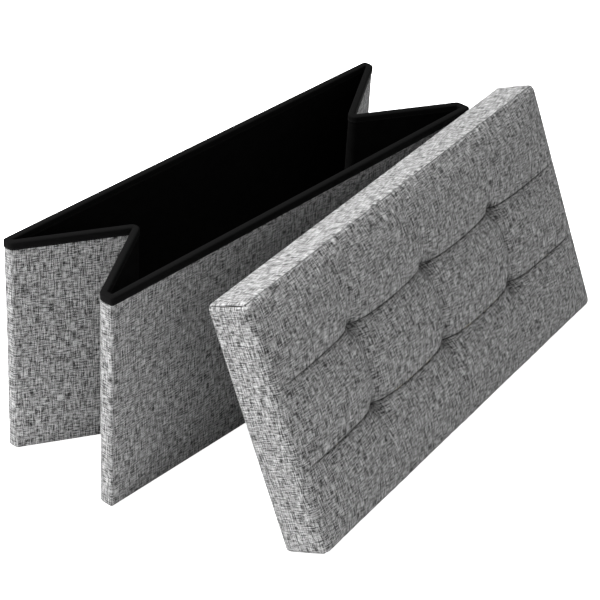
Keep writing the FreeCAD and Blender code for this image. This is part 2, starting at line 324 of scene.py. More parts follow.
foam_material, nodes, shader = material("open_cell_foam", roughness=1.0)
place = nodes.add("TexCoord").outputs["Object"]
pores = nodes.add("TexVoronoi", {"Vector": place, "Scale": 900.0}).outputs["Distance"]
paint(nodes, shader, nodes.mix(pores, (0.45, 0.40, 0.28, 1), (0.80, 0.76, 0.62, 1)))
bump(nodes, shader, pores, 0.4 * MM)

TWIST_PITCH = 1.5 * MM
cord_material, nodes, shader = material("twisted_cord", roughness=0.8)
place = nodes.add("SeparateXYZ", {0: nodes.add("TexCoord").outputs["Object"]}).outputs
twist = nodes.math("SINE", nodes.math("MULTIPLY", nodes.math("ADD", place[0], place[2]),
                                      2 * math.pi / TWIST_PITCH))
paint(nodes, shader, nodes.mix(nodes.remap(twist, -1, 1), grey(0.15), grey(0.45)))
bump(nodes, shader, twist, 0.3 * MM)
print("materials", [m.name for m in bpy.data.materials])

# %% [markdown]
# ## Where the panels stand
#
# Seen from above, the box is a ring of wall. Its inner and outer faces are followed together
# by stations: each station has a point on the outer face and the matching point on the inner
# face. Between the walls the stations turn about the hinge axes.

# %% Read the panels' sizes from the frame
front_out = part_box("front_wall_cover")[0].y
front_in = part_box("front_wall_lining")[1].y
back_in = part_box("back_wall_lining")[0].y
back_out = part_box("back_wall_cover")[1].y
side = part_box("front_wall_cover")[1].x
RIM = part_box("front_wall_binding")[1].z
WALL = front_in - front_out
FOLD = -math.radians(JOINTS["fold"]["range_deg"][0])


def axis_point(joint):
    """Where a hinge's upright axis stands, seen from above."""
    return np.array(JOINTS[joint]["pos_m"][:2])


FRONT_AXIS = axis_point("fold")
CREASE_AXIS = axis_point("left_crease")
BACK_AXIS = axis_point("back_left_corner")
FRONT_RUN = np.array((math.sin(FOLD), math.cos(FOLD)))       # along the front half panel
FRONT_OUT = np.array((-math.cos(FOLD), math.sin(FOLD)))      # its outward normal
BACK_RUN = FRONT_RUN * (-1, 1)
BACK_OUT = FRONT_OUT * (1, -1)
HALF = (CREASE_AXIS - FRONT_AXIS) @ FRONT_RUN
print(f"fold {math.degrees(FOLD):.0f} deg, wall {WALL / MM:.1f} mm, half panel {HALF / MM:.1f} mm")

# %% Lay out the stations
MARGIN = 14 * MM            # how far the cloth of a hinge reaches onto each panel
EDGE_ROUND = 4 * MM         # radius of the cloth round a wall's upright edge
STEP = 12 * MM              # between stations on a flat wall,
FINE_STEP = 4 * MM          # near a hinge,
STRIP_STEP = 3 * MM         # and on the narrow strip beside it
RIGHT = np.array((1.0, 0.0))
BEHIND = np.array((0.0, 1.0))


def spread(start, end, step):
    """Points from start to end, at most a step apart."""
    start, end = np.array(start, float), np.array(end, float)
    count = max(2, int(np.ceil(np.linalg.norm(end - start) / step)) + 1)
    return start + (end - start) * np.linspace(0, 1, count)[:, None]


def fan(centre, radius, start, end, step=7.5):
    """Points on an arc about a centre. Angles are in degrees."""
    count = max(3, int(abs(end - start) / step) + 2)
    angles = np.radians(np.linspace(start, end, count))
    return np.array(centre) + radius * np.stack([np.cos(angles), np.sin(angles)], 1)


def hold(point, others):
    """One point, repeated for each of the others."""
    return np.repeat(np.array(point, float)[None], len(others), 0)


def stations(*parts):
    """Join parts, each a pair of outer and inner points, and leave out repeats."""
    outer = np.concatenate([part[0] for part in parts])
    inner = np.concatenate([part[1] for part in parts])
    moved = np.abs(np.diff(np.concatenate([outer, inner], 1), axis=0)).max(1) > 0.01 * MM
    keep = np.concatenate([[True], moved])
    return outer[keep], inner[keep]


def straight(origin, along, outward, start, end, step=STEP):
    """Stations on a flat wall, whose inner face starts at an origin."""
    inner = spread(origin + along * start, origin + along * end, step)
    return inner + outward * WALL, inner


DEGREES = math.degrees(FOLD)
LEFT_IN = FRONT_AXIS[0]
inner_corner = np.array((LEFT_IN, front_in))
edge_centre = np.array((-side + EDGE_ROUND, front_out + EDGE_ROUND))
edge_arc = fan(edge_centre, EDGE_ROUND, 270, 180)
end_strip = spread((-side, edge_centre[1]), (-side, FRONT_AXIS[1]), STRIP_STEP)
strip_inner = np.column_stack([np.full(len(end_strip), LEFT_IN),
                               np.clip(end_strip[:, 1], front_in, None)])
wall_end = straight(inner_corner + (MARGIN, 0), -RIGHT, -BEHIND, 0, MARGIN, FINE_STEP)
front_fold = fan(FRONT_AXIS, WALL, 180, 180 - DEGREES)
FRONT_CORNER = stations(
    wall_end, (edge_arc, hold(inner_corner, edge_arc)), (end_strip, strip_inner),
    (front_fold, hold(FRONT_AXIS, front_fold)),
    straight(FRONT_AXIS, FRONT_RUN, FRONT_OUT, 0, MARGIN, FINE_STEP))
FRONT_HALF = straight(FRONT_AXIS, FRONT_RUN, FRONT_OUT, MARGIN, HALF - MARGIN)

CREASE_GAP = (CREASE_AXIS - FRONT_AXIS) @ FRONT_OUT - WALL
crease_outer = fan(CREASE_AXIS, CREASE_GAP, -DEGREES, DEGREES, 6)
crease_inner = fan(CREASE_AXIS, CREASE_GAP + WALL, -DEGREES, DEGREES, 6)
back_start = BACK_AXIS - BACK_RUN * HALF
CREASE = stations(
    straight(FRONT_AXIS, FRONT_RUN, FRONT_OUT, HALF - MARGIN, HALF, FINE_STEP),
    (crease_outer, crease_inner),
    straight(back_start, BACK_RUN, BACK_OUT, 0, MARGIN, FINE_STEP))
BACK_HALF = straight(back_start, BACK_RUN, BACK_OUT, MARGIN, HALF - MARGIN)

back_fold = fan(BACK_AXIS, WALL, 180 + DEGREES, 180)
back_edge = np.array((-side + EDGE_ROUND, back_out - EDGE_ROUND))
back_inner_corner = np.array((LEFT_IN, back_in))
back_strip = spread((-side, BACK_AXIS[1]), (-side, back_edge[1]), STRIP_STEP)
back_strip_inner = np.column_stack([np.full(len(back_strip), LEFT_IN),
                                    np.clip(back_strip[:, 1], None, back_in)])
back_arc = fan(back_edge, EDGE_ROUND, 180, 90)
back_panel_end = straight(back_start, BACK_RUN, BACK_OUT, HALF - MARGIN, HALF, FINE_STEP)
back_wall_end = stations(
    (back_strip, back_strip_inner), (back_arc, hold(back_inner_corner, back_arc)),
    straight(back_inner_corner, RIGHT, BEHIND, 0, MARGIN, FINE_STEP))
BACK_CORNER = stations(back_panel_end, (back_fold, hold(BACK_AXIS, back_fold)), back_wall_end)

wall_length = 2 * (-LEFT_IN - MARGIN)
FRONT_WALL = straight(np.array((LEFT_IN + MARGIN, front_in)), RIGHT, -BEHIND, 0, wall_length)
BACK_WALL = straight(np.array((LEFT_IN + MARGIN, back_in)), RIGHT, BEHIND, 0, wall_length)


def mirrored(run):
    """The same stations on the right-hand side."""
    return tuple(points * (-1, 1) for points in run)


print("stations:", len(FRONT_CORNER[0]), "front corner,", len(CREASE[0]), "crease,",
      len(BACK_CORNER[0]), "back corner")


# %% [markdown]
# ## A sheet of cloth from a grid
#
# A grid primitive has its vertices in rows, so any sheet can be made by giving each vertex
# its place. The sheet also gets its UV map, measured in metres along the cloth, and
# thickness on its hidden side.


# %% Helpers that make a sheet
def only(obj):
    """Select one object and nothing else."""
    bpy.ops.object.select_all(action="DESELECT")
    obj.select_set(True)
    bpy.context.view_layer.objects.active = obj


def lengths(points):
    """How far along a line of points each one is."""
    steps = np.linalg.norm(np.diff(points, axis=0), axis=1)
    return np.concatenate([[0.0], np.cumsum(steps)])


def add_grid(name, points):
    """A grid with its vertices at rows of points."""
    rows, columns = points.shape[:2]
    bpy.ops.object.select_all(action="DESELECT")
    bpy.ops.mesh.primitive_grid_add(x_subdivisions=columns - 1, y_subdivisions=rows - 1, size=1)
    obj = bpy.context.object
    obj.name = name
    obj.data.vertices.foreach_set("co", points.astype(np.float32).ravel())
    obj.data.update()
    return obj


def sheet(name, points, across, upwards, finish, thick, facing, painted_shade=None, edge=None):
    """A closed sheet through rows of points. The side that faces `facing` is the shown one."""
    rows, columns = points.shape[:2]
    obj = add_grid(name, points)
    mesh = obj.data
    mesh.name = name
    uv = np.stack(np.broadcast_arrays(across, upwards), 2).reshape(-1, 2)
    corner = np.zeros(len(mesh.loops), np.int32)
    mesh.loops.foreach_get("vertex_index", corner)
    mesh.uv_layers["UVMap"].data.foreach_set("uv", uv[corner].astype(np.float32).ravel())
    for label, values in (("painted_shade", painted_shade), ("edge_distance", edge)):
        if values is not None:
            layer = mesh.attributes.new(label, "FLOAT", "POINT")
            layer.data.foreach_set("value", np.broadcast_to(values, (rows, columns))
                                   .astype(np.float32).ravel())
    middle = mesh.polygons[(rows - 1) // 2 * (columns - 1) + (columns - 1) // 2]
    if middle.normal.dot(Vector(facing)) < 0:
        mesh.flip_normals()
    only(obj)
    solid = obj.modifiers.new("thickness", "SOLIDIFY")
    solid.thickness = thick
    solid.offset = -1
    bpy.ops.object.modifier_apply(modifier=solid.name)
    bpy.ops.object.shade_smooth_by_angle(angle=math.radians(50))
    mesh.materials.clear()
    mesh.materials.append(finish)
    return obj


def register(piece, node, body):
    """Say which node of the frame a piece replaces, which body it rides on."""
    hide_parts(node)
    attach(piece, body)


# %% [markdown]
# ## Fabric, felt and tape along a run
#
# Each stretch of wall gets three sheets. The fabric is outside, rounded in at its lower
# edge. The felt is inside. The tape is a channel over the rim, a little proud of both.

# %% Profiles of the three sheets
TAPE_DROP = 11.6 * MM
TAPE_PROUD = 0.9 * MM
TAPE_CROWN = 3.4 * MM       # height of the tape's rounded top
CROWN_ROWS = 13
TAPE_LEG = (0.6, 1, 1)      # how proud a leg's rows stand, from its lower edge up
FABRIC_THICK = 1.0 * MM
FELT_THICK = 0.8 * MM
TAPE_THICK = 0.6 * MM
FABRIC_FOOT = ((0.7, 1.7), (0.9, 1.0), (1.6, 0.35), (3.0, 0.0))     # heights and insets, in mm
RIPPLE = 0.16 * MM
RIPPLE_FADE = 40 * MM       # the ripples die out this far from the foot and from the rim
FELT_RIPPLE = 0.4           # the felt's share of the fabric's ripples


def slack(distance, height):
    """The small ripples of fabric stretched over a board, in metres."""
    waves = (np.sin(distance * 41 + height * 9 + 1.3) + np.sin(distance * 23 - height * 31)
             + np.sin(distance * 7 + height * 17 + 0.6))
    from_foot = np.clip(height / RIPPLE_FADE, 0, 1)
    return RIPPLE * waves * from_foot * np.clip((RIM - height) / RIPPLE_FADE, 0, 1)


def upright(line, out, puff, heights):
    """Places on an upright sheet: a line seen from above, moved outwards, at some heights."""
    flat = line[None] + out[None] * puff[..., None]
    return np.concatenate([flat, np.broadcast_to(heights, puff.shape)[..., None]], 2)


def outward_of(run):
    """Unit vectors from the inner face to the outer face, at each station."""
    across = run[0] - run[1]
    return across / np.linalg.norm(across, axis=1)[:, None]


def facing_of(run):
    """The outward direction at the run's middle station."""
    x, y = outward_of(run)[len(run[0]) // 2]
    return np.array((x, y, 0.0))


def fabric_sheet(name, run, start=0.0):
    """The woven cover on the outer face."""
    foot_heights, foot_insets = np.array(FABRIC_FOOT).T
    heights = np.concatenate([foot_heights, [6.0], np.linspace(14, RIM / MM - 14, 24),
                              [RIM / MM - 6, RIM / MM - 2.5]]) * MM
    sink = np.interp(heights / MM, foot_heights, foot_insets) * MM
    distance = lengths(run[0]) + start
    puff = slack(distance[None], heights[:, None]) - sink[:, None]
    points = upright(run[0], outward_of(run), puff, heights[:, None])
    return sheet(name, points, distance[None], heights[:, None], LINEN, FABRIC_THICK,
                 facing_of(run))


def felt_sheet(name, run, start=0.0):
    """The lining on the inner face."""
    heights = np.concatenate([[0.9, 3.0], np.linspace(14, RIM / MM - 14, 16),
                              [RIM / MM - 2.5]]) * MM
    distance = lengths(run[1]) + start
    puff = FELT_RIPPLE * slack(distance[None] + 0.2, heights[:, None]) - 0.1 * MM
    points = upright(run[1], outward_of(run), puff, heights[:, None])
    return sheet(name, points, distance[None], heights[:, None], felt, FELT_THICK,
                 -facing_of(run))


def tape_sheet(name, run, start=0.0, tuck=None):
    """The tape folded over the rim. A tucked station lies a little under the next panel's."""
    outer, inner = run
    middle = (outer + inner) / 2
    reach = np.linalg.norm(outer - inner, axis=1) / 2
    tuck = np.zeros(len(outer)) if tuck is None else tuck
    turns = np.radians(np.linspace(0, 180, CROWN_ROWS))
    crown_side = np.sign(np.cos(turns)) * np.abs(np.cos(turns)) ** 0.6
    crown_rise = np.sin(turns) ** 0.8
    lower, upper = RIM - TAPE_DROP, RIM - TAPE_CROWN
    legs = np.array((lower, lower + 1 * MM, lower + 4 * MM))
    share = np.concatenate([[1, 1, 1], crown_side, [-1, -1, -1]])
    proud = np.concatenate([TAPE_LEG, np.ones(CROWN_ROWS), TAPE_LEG[::-1]]) * TAPE_PROUD
    heights = np.concatenate([legs, upper + TAPE_CROWN * crown_rise, legs[::-1]])[:, None]
    width = share[:, None] * (reach[None] + proud[:, None] - tuck[None])
    height = heights - tuck[None] * np.clip((heights - lower) / TAPE_CROWN, 0, 1)
    points = upright(middle, outward_of(run), width, height)
    around = lengths(points[:, 0])
    edge = np.minimum(around, around[-1] - around)
    return sheet(name, points, lengths(middle)[None] + start, around[:, None], tape, TAPE_THICK,
                 (0, 0, 1), edge=edge[:, None])


# %% [markdown]
# ## The boards in the walls
#
# Each wall and each half panel has a board in it, given a black face as painted shade, so that
# the narrow slits at the corners look dark. It is a cube at the board's size, with softened
# edges. It stops a little short of the hinges, the rim and the foot, so that the cloth which
# turns there has room.

# %% Make the six wall boards
HINGE_ROOM = 3.0 * MM
TONGUE_ROOM = 9.5 * MM      # where the opened corner's tongue slides in
RIM_ROOM = 1.6 * MM
FOOT_ROOM = 1.6 * MM
EDGE_SOFTNESS = 0.5 * MM


def add_bar(name, low, high):
    """A cube between two corners, with its scale and place in the mesh."""
    bpy.ops.object.select_all(action="DESELECT")
    bpy.ops.mesh.primitive_cube_add(size=1, location=tuple((low + high) / 2))
    bar = bpy.context.object
    bar.name = name
    bar.scale = tuple(high - low)
    bpy.ops.object.transform_apply(location=True, rotation=False, scale=True)
    return bar


def soften():
    """Put a small bevel on every edge of the active object."""
    bpy.ops.object.mode_set(mode="EDIT")
    bpy.ops.mesh.select_all(action="SELECT")
    bpy.ops.mesh.bevel(offset=EDGE_SOFTNESS, segments=2, affect="EDGES", clamp_overlap=True)
    bpy.ops.object.mode_set(mode="OBJECT")
    bpy.ops.object.shade_smooth_by_angle(angle=math.radians(40))


def node_points(name):
    """A frame node's vertices as an array."""
    mesh = frame["nodes"][name].data
    points = np.zeros(len(mesh.vertices) * 3, np.float32)
    mesh.vertices.foreach_get("co", points)
    return points.reshape(-1, 3).astype(float)


WALL_WAYS = {"front_wall": np.array((0.0, -1.0)), "back_wall": np.array((0.0, 1.0)),
             "left_front": FRONT_OUT, "left_back": BACK_OUT,
             "right_front": FRONT_OUT * (-1, 1), "right_back": BACK_OUT * (-1, 1)}
for body, out in WALL_WAYS.items():
    turn = np.array(((out[1], -out[0], 0), (out[0], out[1], 0), (0, 0, 1))).T
    local = node_points(f"{body}_board") @ turn
    low_room = TONGUE_ROOM if body == "right_back" else HINGE_ROOM
    bar = add_bar(f"{body}_board_bar", local.min(0) + (low_room, 0, FOOT_ROOM),
                  local.max(0) - (HINGE_ROOM, 0, RIM_ROOM))
    soften()
    only(bar)
    bar.matrix_world = Matrix(turn.tolist()).to_4x4()
    bpy.ops.object.transform_apply(location=True, rotation=True, scale=True)
    # painted shade: the black face stands in for the dark slits where a board shows between the
    # cloths
    bar.data.materials.append(black_card)
    register(bar, f"{body}_board", body)
    print(bar.name, [round(v / MM, 1) for v in np.ptp(local, axis=0)])

# %% Dress the rigid stretches
PANELS = {"front_wall": FRONT_WALL, "back_wall": BACK_WALL,
          "left_front": FRONT_HALF, "left_back": BACK_HALF,
          "right_front": mirrored(FRONT_HALF), "right_back": mirrored(BACK_HALF)}
LAYERS = ((fabric_sheet, "cover", "linen"), (felt_sheet, "lining", "lining"),
          (tape_sheet, "binding", "binding"))
PANEL_SHIFT = 1.3           # metres that the cloth's pattern moves on from panel to panel
for number, (body, run) in enumerate(PANELS.items()):
    for make, layer, slot in LAYERS:
        piece = make(f"{body}_{layer}_cloth", run, PANEL_SHIFT * number)
        register(piece, f"{body}_{layer}", body)
print("dressed", len(PANELS), "panels")

# %% [markdown]
# ## Cloth that crosses a hinge
#
# At each fold the cloth belongs to two panels. Such a sheet is made round the axis where the
# box stands, and its place is baked into its mesh; it rides on neither panel.
# The corner between the right-hand panel and the back wall is where the ring of panels is
# opened, so the cloth there rides on the back wall and has a tongue under the panel's edge.

# %% Dress the hinges
SPAN = 2.5 * MM             # how far a crease's span reaches to each side of its axis
HINGE_SHIFT = 0.37          # metres that the pattern moves on from hinge to hinge
TURN_WAY = np.array((0.25, 0.968))  # steeper than the panel
TURN_LENGTH = WALL * float(np.array((1 - math.cos(FOLD), math.sin(FOLD))) @ TURN_WAY)
front_still = FRONT_AXIS - (WALL, 0)
back_still = BACK_AXIS - (WALL, 0)
HINGES = {
    "front_corner": (FRONT_CORNER, "front_wall", "front",
                     front_still, front_still + TURN_WAY * TURN_LENGTH),
    "crease": (CREASE, "front", "back", CREASE_AXIS - (0, SPAN), CREASE_AXIS + (0, SPAN)),
    "back_corner": (BACK_CORNER, "back", "back_wall",
                    back_still + TURN_WAY * (1, -1) * TURN_LENGTH, back_still),
}
for number, (hinge, (run, first, second, start, end)) in enumerate(HINGES.items()):
    for hand in ("left", "right"):
        if hinge == "back_corner" and hand == "right":
            continue
        turn = run if hand == "left" else mirrored(run)
        sign = 1 if hand == "left" else -1
        for make, layer, slot in LAYERS:
            piece = make(f"{hand}_{hinge}_{layer}_cloth", turn, HINGE_SHIFT * number + 0.2)
            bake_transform(piece)
print("blended the cloth of", list(HINGES), "left and right, but for the opened corner")

# %% Dress the opened corner
TONGUE = 1.2 * MM           # how deep the tongue lies under the panel's cloth
TONGUE_ANGLE = 78           # how far round the hinge it reaches, in degrees
TUCK_ANGLE = 4              # within this many degrees it dips to that depth
tongue_fold = fan(BACK_AXIS, WALL, 180 + TONGUE_ANGLE, 180)
turned = np.degrees(np.arctan2(*(tongue_fold - BACK_AXIS).T[::-1])) % 360
tucked = np.clip((turned - 180 - DEGREES) / TUCK_ANGLE, 0, 1) * TONGUE
shrunk = tongue_fold + (BACK_AXIS - tongue_fold) * (tucked / WALL)[:, None]
open_corner = mirrored(stations((shrunk, hold(BACK_AXIS, shrunk)), back_wall_end))
tape_tuck = np.zeros(len(open_corner[0]))
tape_tuck[:len(tucked)] = tucked
for make, layer, slot in LAYERS:
    extra = {"tuck": tape_tuck} if layer == "binding" else {}
    piece = make(f"right_back_corner_{layer}_cloth", open_corner, 0.9, **extra)
    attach(piece, "back_wall")
    piece = make(f"right_back_end_{layer}_cloth", mirrored(back_panel_end), 0.6)
    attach(piece, "right_back")
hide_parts("front_wall_hinge_tapes")
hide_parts("back_wall_hinge_tapes")
print("dressed the opened corner:", len(open_corner[0]), "stations,", len(tucked), "on the tongue")

# %% [markdown]
# ## The lid's own frame
#
# The lid leans and is turned a little, so it is shaped flat, in its own coordinates, and then
# placed. Its board in the frame gives the directions: of the lines from one corner of that
# flat box to the others, the shortest is the thickness and the next one is the width. The
# length is square to both.


# %% Read the lid's directions from its board
corners = np.unique(node_points("lid_board").round(6), axis=0)
first = corners[0]
rays = sorted((corner - first for corner in corners[1:]), key=np.linalg.norm)
thick_way = rays[0] / np.linalg.norm(rays[0])
wide_way = rays[1] / np.linalg.norm(rays[1])
long_way = np.cross(wide_way, thick_way)
long_way *= np.sign(long_way[0])
thick_way *= np.sign(thick_way[2])
wide_way = np.cross(thick_way, long_way)
LID_TURN = np.stack([long_way, wide_way, thick_way], 1)
lid_nodes = [name for name in frame["nodes"] if name.startswith("lid_")]
turned_points = np.concatenate([node_points(name) for name in lid_nodes]) @ LID_TURN
lid_low, lid_high = turned_points.min(0), turned_points.max(0)
LID_LONG, LID_WIDE, LID_THICK = lid_high - lid_low
lid_origin = LID_TURN @ np.array(((lid_low[0] + lid_high[0]) / 2, lid_low[1], lid_low[2]))
LID_PLACE = Matrix.Translation(Vector(lid_origin)) @ Matrix(LID_TURN.tolist()).to_4x4()


def lid_points(name):
    """A lid node's vertices in the lid's own coordinates: long, wide and thick."""
    return (node_points(name) - lid_origin) @ LID_TURN


def place_on_lid(obj):
    """Turn a finished piece from the lid's own coordinates to where the lid leans."""
    only(obj)
    obj.matrix_world = LID_PLACE
    bpy.ops.object.transform_apply(location=True, rotation=True, scale=True)


SKIRT = lid_points("lid_rail_lower").max(0)[2]
BOARD_TOP = lid_points("lid_board").max(0)[2]
RAIL = float(np.ptp(lid_points("lid_rail_left")[:, 0]))
print(f"lid {LID_LONG / MM:.0f} x {LID_WIDE / MM:.0f} x {LID_THICK / MM:.0f} mm,",
      f"skirt {SKIRT / MM:.0f} mm")

# %% [markdown]
# ## The tufted pad
#
# The top is a foam pad under fabric. Two seams run along it, and three ties on each pull it
# down. First its plain shape is worked out: a soft crown that rounds down to the edges, less
# the seams' valleys, less a dimple at each tie.

# %% Work out the pad's plain shape
SEAM_HEIGHT = LID_THICK - 0.5 * MM      # where the top meets the long bands
PAD_RISE = 5.5 * MM                     # from that seam to the flat of the pad
LONG_ROUND = 13 * MM                    # how far in the long edges are rounded
END_RADIUS = 14 * MM                    # the fabric's bend over the short ends
CROWN = 2.0 * MM
VALLEY = 2.4 * MM                       # depth of a seam's valley far from the ties,
VALLEY_AT_TIES = 6.0 * MM               # and how much deeper it is at a tie
VALLEY_REACH = 40 * MM                  # along the seam, from the tie
NARROW, NARROW_SHARE = 8 * MM, 0.62     # a valley is a narrow cut with this share of the depth
WIDE, WIDE_SHARE = 26 * MM, 0.38        # and a wide hollow with the rest
NARROW_END, NARROW_LEAST = 60 * MM, 0.15    # near a short end the cut fades to this share,
WIDE_END = 120 * MM                     # and the hollow to nothing
DIMPLE = 11.0 * MM
DIMPLE_WIDTH = 13 * MM
CREASE_DEPTH = 4.0 * MM                 # the shallow fold that joins the two ties of a column
CREASE_WIDTH = 8 * MM
CREASE_BOW = 5 * MM
CREASE_END = 14 * MM                    # how far the fold runs on past its ties
SHADOW_WIDTH = 12 * MM
TIE_GRID = 50 * MM                      # finer than the ties' spacing, to sort their points by
TOP = SEAM_HEIGHT + PAD_RISE
tie_points = lid_points("lid_tuft_ties")
tie_columns = sorted({round(x / TIE_GRID) for x in tie_points[:, 0]})
TIE_X = [float(tie_points[np.abs(tie_points[:, 0] - step * TIE_GRID) < 0.6 * TIE_GRID, 0].mean())
         for step in tie_columns]
upper_row = tie_points[:, 1] > LID_WIDE / 2
TIE_Y = [float(tie_points[~upper_row, 1].mean()), float(tie_points[upper_row, 1].mean())]
print("ties", [round(x / MM) for x in TIE_X], [round(y / MM) for y in TIE_Y])


def round_drop(distance, radius):
    """How far a rounded edge falls, as a share, at a distance in from it."""
    inside = np.clip(distance / radius, 0, 1)
    return 1 - np.sqrt(np.clip(1 - (1 - inside) ** 2, 0, 1))


def column_crease(x, y):
    """One along the bowed folds that join the ties of each column, and nought elsewhere."""
    share = np.clip((y - TIE_Y[0]) / (TIE_Y[1] - TIE_Y[0]), 0, 1)
    past = np.abs(y - (TIE_Y[0] + (TIE_Y[1] - TIE_Y[0]) * share))
    bowed = x - CREASE_BOW * np.sin(share * math.pi)
    lines = sum(np.exp(-np.abs((bowed - tie) / CREASE_WIDTH) ** 1.5) for tie in TIE_X)
    return lines * np.exp(-past / CREASE_END)


def tie_shadow(x, y):
    """One at each tie, fading out round it: painted shade in the pocket that the tie pulls down."""
    return sum(np.exp(-((x - tie) ** 2 + (y - row) ** 2) / SHADOW_WIDTH ** 2)
               for row in TIE_Y for tie in TIE_X)


def plain_pad(x, y):
    """The pad's height over the flat at TOP."""
    along, across = 2 * x / LID_LONG, 2 * y / LID_WIDE - 1
    height = CROWN * (1 - along ** 4) * (1 - across ** 4)
    height = height - PAD_RISE * round_drop(np.minimum(y, LID_WIDE - y), LONG_ROUND)
    from_end = LID_LONG / 2 - np.abs(x)
    narrow = NARROW_SHARE * np.clip(from_end / NARROW_END, NARROW_LEAST, 1)
    wide = WIDE_SHARE * np.clip(from_end / WIDE_END, 0, 1)
    near_tie = sum(np.exp(-np.abs(x - tie) / VALLEY_REACH) for tie in TIE_X)
    for row in TIE_Y:
        off = np.abs(y - row)
        depth = VALLEY + VALLEY_AT_TIES * near_tie
        height = height - depth * narrow * np.exp(-off / NARROW)
        height = height - depth * wide * np.exp(-(off / WIDE) ** 2)
        for tie in TIE_X:
            away = np.hypot(x - tie, y - row)
            height = height - DIMPLE * np.exp(-(away / DIMPLE_WIDTH) ** 1.3)
    return height - CREASE_DEPTH * column_crease(x, y)


# %% [markdown]
# ## Let the cloth simulation fill the pad
#
# A real pad isn't smooth: the fabric is cut a little larger than the foam, so it puffs between
# the seams and folds towards the ties. A sheet in the plain shape is held along its edges, its
# seams and its ties, the cloth is let out by a little over one percent, and a steady pressure
# fills it for twenty frames. How far each point may move is capped.

# %% Inflate a sheet of fabric
PRESSURE = 4.0
LET_OUT = 0.014
FRAMES = 20
MOVE_CAP = 6.0 * MM
STILL_END = 70 * MM         # the movement dies out over this length at each short end
STEPS_ALONG, STEPS_ACROSS = 30, 20      # steps of the sheet between two ties


def even_steps(stops, pieces):
    """Positions from the first stop to the last, with the same number of steps between stops."""
    runs = [np.linspace(a, b, pieces + 1)[:-1] for a, b in zip(stops, stops[1:])]
    return np.concatenate([*runs, [stops[-1]]])


coarse_x = even_steps([-LID_LONG / 2, *TIE_X, LID_LONG / 2], STEPS_ALONG)
coarse_y = even_steps([0.0, *TIE_Y, LID_WIDE], STEPS_ACROSS)
grid_x, grid_y = np.meshgrid(coarse_x, coarse_y)
before = np.stack([grid_x, grid_y, plain_pad(grid_x, grid_y)], 2)
fabric = add_grid("pad_fabric", before)
number = np.arange(grid_x.size).reshape(grid_x.shape)
held = {*number[0], *number[-1], *number[:, 0], *number[:, -1]}
for row in TIE_Y:
    row_at = int(np.argmin(np.abs(coarse_y - row)))
    held.update(number[row_at])
    for tie in TIE_X:
        column_at = int(np.argmin(np.abs(coarse_x - tie)))
        held.update((number[row_at - 1, column_at], number[row_at + 1, column_at]))
pins = fabric.vertex_groups.new(name="held")
pins.add([int(vertex) for vertex in held], 1.0, "REPLACE")
cloth = fabric.modifiers.new("cloth", "CLOTH")
cloth.settings.quality = 5
cloth.settings.mass = 0.15
cloth.settings.use_pressure = True
cloth.settings.uniform_pressure_force = PRESSURE
cloth.settings.vertex_group_mass = pins.name
cloth.settings.shrink_min = -LET_OUT
cloth.settings.effector_weights.gravity = 0
cloth.point_cache.frame_end = FRAMES
for frame_number in range(1, FRAMES + 1):
    bpy.context.scene.frame_set(frame_number)
only(fabric)
bpy.ops.object.modifier_apply(modifier=cloth.name)
after = np.zeros(grid_x.size * 3, np.float32)
fabric.data.vertices.foreach_get("co", after)
moved = after.reshape(*grid_x.shape, 3) - before
distance = np.linalg.norm(moved, axis=2, keepdims=True)
moved *= np.tanh(distance / MOVE_CAP) * MOVE_CAP / np.maximum(distance, 1e-6)
share = np.clip((LID_LONG / 2 - np.abs(grid_x)) / STILL_END, 0, 1)[..., None]
moved *= share * share * (3 - 2 * share)
bpy.data.objects.remove(fabric)
bpy.context.scene.frame_set(1)
print(f"filled: up to {moved[..., 2].max() / MM:.1f} mm out, {moved[..., 2].min() / MM:.1f} mm in")


# %% Look up the filled shape anywhere
def curve_through(places, values, wanted):
    """Smooth values between known places, along the first axis."""
    slopes = np.gradient(values, places, axis=0)
    at = np.clip(np.searchsorted(places, wanted) - 1, 0, len(places) - 2)
    shape = (-1,) + (1,) * (values.ndim - 1)
    step = (places[at + 1] - places[at]).reshape(shape)
    t = np.clip((wanted - places[at]).reshape(shape) / step, 0, 1)
    return ((2 * t ** 3 - 3 * t ** 2 + 1) * values[at] + (t ** 3 - 2 * t ** 2 + t) * step * slopes[at]
            + (3 * t ** 2 - 2 * t ** 3) * values[at + 1] + (t ** 3 - t ** 2) * step * slopes[at + 1])


def filled_pad(xs, ys):
    """Places on the filled pad for a grid of lengths and widths."""
    along = curve_through(coarse_y, moved, ys)
    both = curve_through(coarse_x, along.transpose(1, 0, 2), xs).transpose(1, 0, 2)
    x, y = np.meshgrid(xs, ys)
    return np.stack([x, y, plain_pad(x, y)], 2) + both


# %% [markdown]
# ## The top cover
#
# One piece of fabric covers the top and both short ends, and its hem turns in under the rails.
# Its rows are close together next to the seams, so that each seam is a real groove. An
# attribute carries painted shade to the material: a dark line in each seam's groove, dark
# pockets at the ties, soft dark folds between them, and a dark line at each seamed edge.

# %% Lay out the top cover
PAD_STEP = 3.5 * MM
HALF_LONG = LID_LONG / 2
HEM = RAIL / MM + 1.4       # the profiles are in mm: how far in from the side, and how high
HEM_PROFILE = ((HEM, 14), (HEM, 2), (HEM - 1.5, 0.3), (2, 0.3), (0.4, 0.9), (0, 2.2),
               (-0.2, 8), (-0.5, 16))
END_PROFILE = (*HEM_PROFILE, (-1.0, 26), (-1.3, 36), (-1.2, 44))
end_turns = np.radians(np.linspace(180, 90, 11))
end_arc = np.column_stack([-HALF_LONG - 1.0 * MM + END_RADIUS * (1 + np.cos(end_turns)),
                           TOP - END_RADIUS * (1 - np.sin(end_turns))])
left_end = np.concatenate([np.array(END_PROFILE) * MM - (HALF_LONG, 0), end_arc])
flat_end = -left_end[-1][0] - FINE_STEP
flat_x = spread((-flat_end, 0), (flat_end, 0), PAD_STEP)[:, 0]
path = np.concatenate([left_end, np.column_stack([flat_x, np.full(len(flat_x), TOP)]),
                       left_end[::-1] * (-1, 1)])
across = lengths(path) - lengths(path)[-1] / 2
tangent = np.gradient(path, axis=0)
